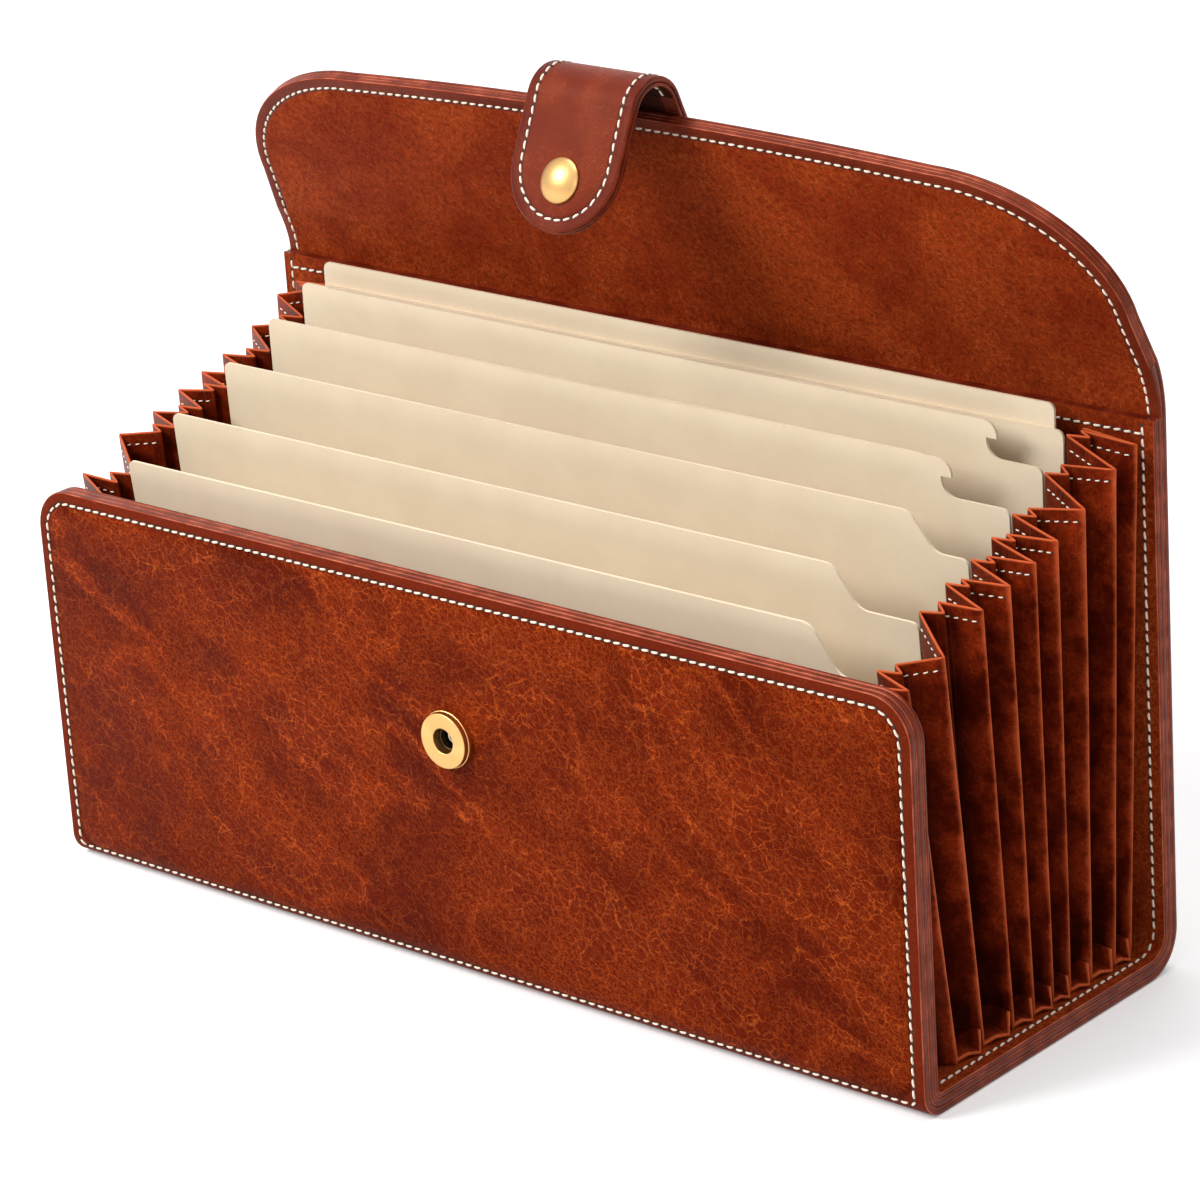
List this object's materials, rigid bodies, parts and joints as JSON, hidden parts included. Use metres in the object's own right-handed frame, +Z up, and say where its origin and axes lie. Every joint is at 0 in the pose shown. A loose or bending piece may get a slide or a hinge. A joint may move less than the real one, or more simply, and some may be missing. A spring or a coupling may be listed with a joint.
{
  "type": "accordion file folder",
  "caption": "Free-standing leather expanding file folder: stitched covers, pleated bellows ends, cream card dividers, and a fold-over flap closed by a strap with a press snap.",
  "frame": {"origin": "on the flat underside of the base, midway along the width and midway deep", "axes": "+X along the width to the viewer's right when the front cover is faced, +Y from the front cover to the back cover, +Z up"},
  "size_m": [0.275, 0.101, 0.2088],
  "materials": {
    "cover_leather": "crackled pull-up leather, semi-matt",
    "suede_lining": "fibrous split leather, matt",
    "bellows_leather": "thin creased leather, satin",
    "strap_leather": "smooth leather with painted edge, satin",
    "board_core": "paperboard with painted edge",
    "cream_card": "uncoated cream card",
    "brass": "satin brass",
    "nickel_steel": "nickel-plated steel"
  },
  "bodies": {
    "back": {"back_cover_core": "board_core", "back_cover_leather": "cover_leather", "back_cover_lining": "suede_lining", "base_filler": "board_core", "base_leather": "cover_leather", "base_lining": "suede_lining", "gusset_left": "bellows_leather", "gusset_right": "bellows_leather", "flap_hinge": "suede_lining"},
    "front": {"front_cover_core": "board_core", "front_cover_leather": "cover_leather", "front_cover_lining": "suede_lining", "snap_socket_eyelet": "nickel_steel", "snap_socket_ring": "brass", "snap_socket_washer": "nickel_steel"},
    "divider_1": {"divider_1": "cream_card"},
    "divider_2": {"divider_2": "cream_card"},
    "divider_3": {"divider_3": "cream_card"},
    "divider_4": {"divider_4": "cream_card", "divider_4_backing": "cream_card"},
    "divider_5": {"divider_5": "cream_card", "divider_5_backing": "cream_card"},
    "divider_6": {"divider_6": "cream_card", "divider_6_backing": "cream_card"},
    "flap": {"flap_leather": "cover_leather", "flap_core": "board_core", "flap_lining": "suede_lining", "strap_anchor": "strap_leather", "strap_bend": "strap_leather"},
    "strap": {"strap_leather": "strap_leather", "strap_lining": "strap_leather", "snap_cap": "brass", "snap_stud": "nickel_steel"}
  },
  "joints": [
    {"name": "front_slide", "type": "slide", "parent": "back", "child": "front", "axis": [0, 1, 0], "range_m": [0, 0.05], "deforming": ["gusset_left", "gusset_right", "base_leather", "base_filler", "base_lining"]},
    {"name": "divider_1_slide", "type": "slide", "parent": "back", "child": "divider_1", "axis": [0, 1, 0], "range_m": [0, 0.04455]},
    {"name": "divider_2_slide", "type": "slide", "parent": "back", "child": "divider_2", "axis": [0, 1, 0], "range_m": [0, 0.0355]},
    {"name": "divider_3_slide", "type": "slide", "parent": "back", "child": "divider_3", "axis": [0, 1, 0], "range_m": [0, 0.0247]},
    {"name": "divider_4_slide", "type": "slide", "parent": "back", "child": "divider_4", "axis": [0, 1, 0], "range_m": [0, 0.01565]},
    {"name": "divider_5_slide", "type": "slide", "parent": "back", "child": "divider_5", "axis": [0, 1, 0], "range_m": [0, 0.0083]},
    {"name": "divider_6_slide", "type": "slide", "parent": "back", "child": "divider_6", "axis": [0, 1, 0], "range_m": [0, 0.0035]},
    {"name": "flap_turn", "type": "hinge", "parent": "back", "child": "flap", "pos_m": [0, 0.0481, 0.1446], "axis": [1, 0, 0], "range_deg": [-175, 50], "deforming": ["flap_hinge"]},
    {"name": "strap_turn", "type": "hinge", "parent": "flap", "child": "strap", "pos_m": [0, 0.01918, 0.2075], "axis": [-1, 0, 0], "range_deg": [-15, 120], "deforming": ["strap_bend"]}
  ],
  "couplings": [
    {"joint": "divider_1_slide", "follows": "front_slide", "ratio": 0.891},
    {"joint": "divider_2_slide", "follows": "front_slide", "ratio": 0.71},
    {"joint": "divider_3_slide", "follows": "front_slide", "ratio": 0.494},
    {"joint": "divider_4_slide", "follows": "front_slide", "ratio": 0.313},
    {"joint": "divider_5_slide", "follows": "front_slide", "ratio": 0.166},
    {"joint": "divider_6_slide", "follows": "front_slide", "ratio": 0.07}
  ]
}
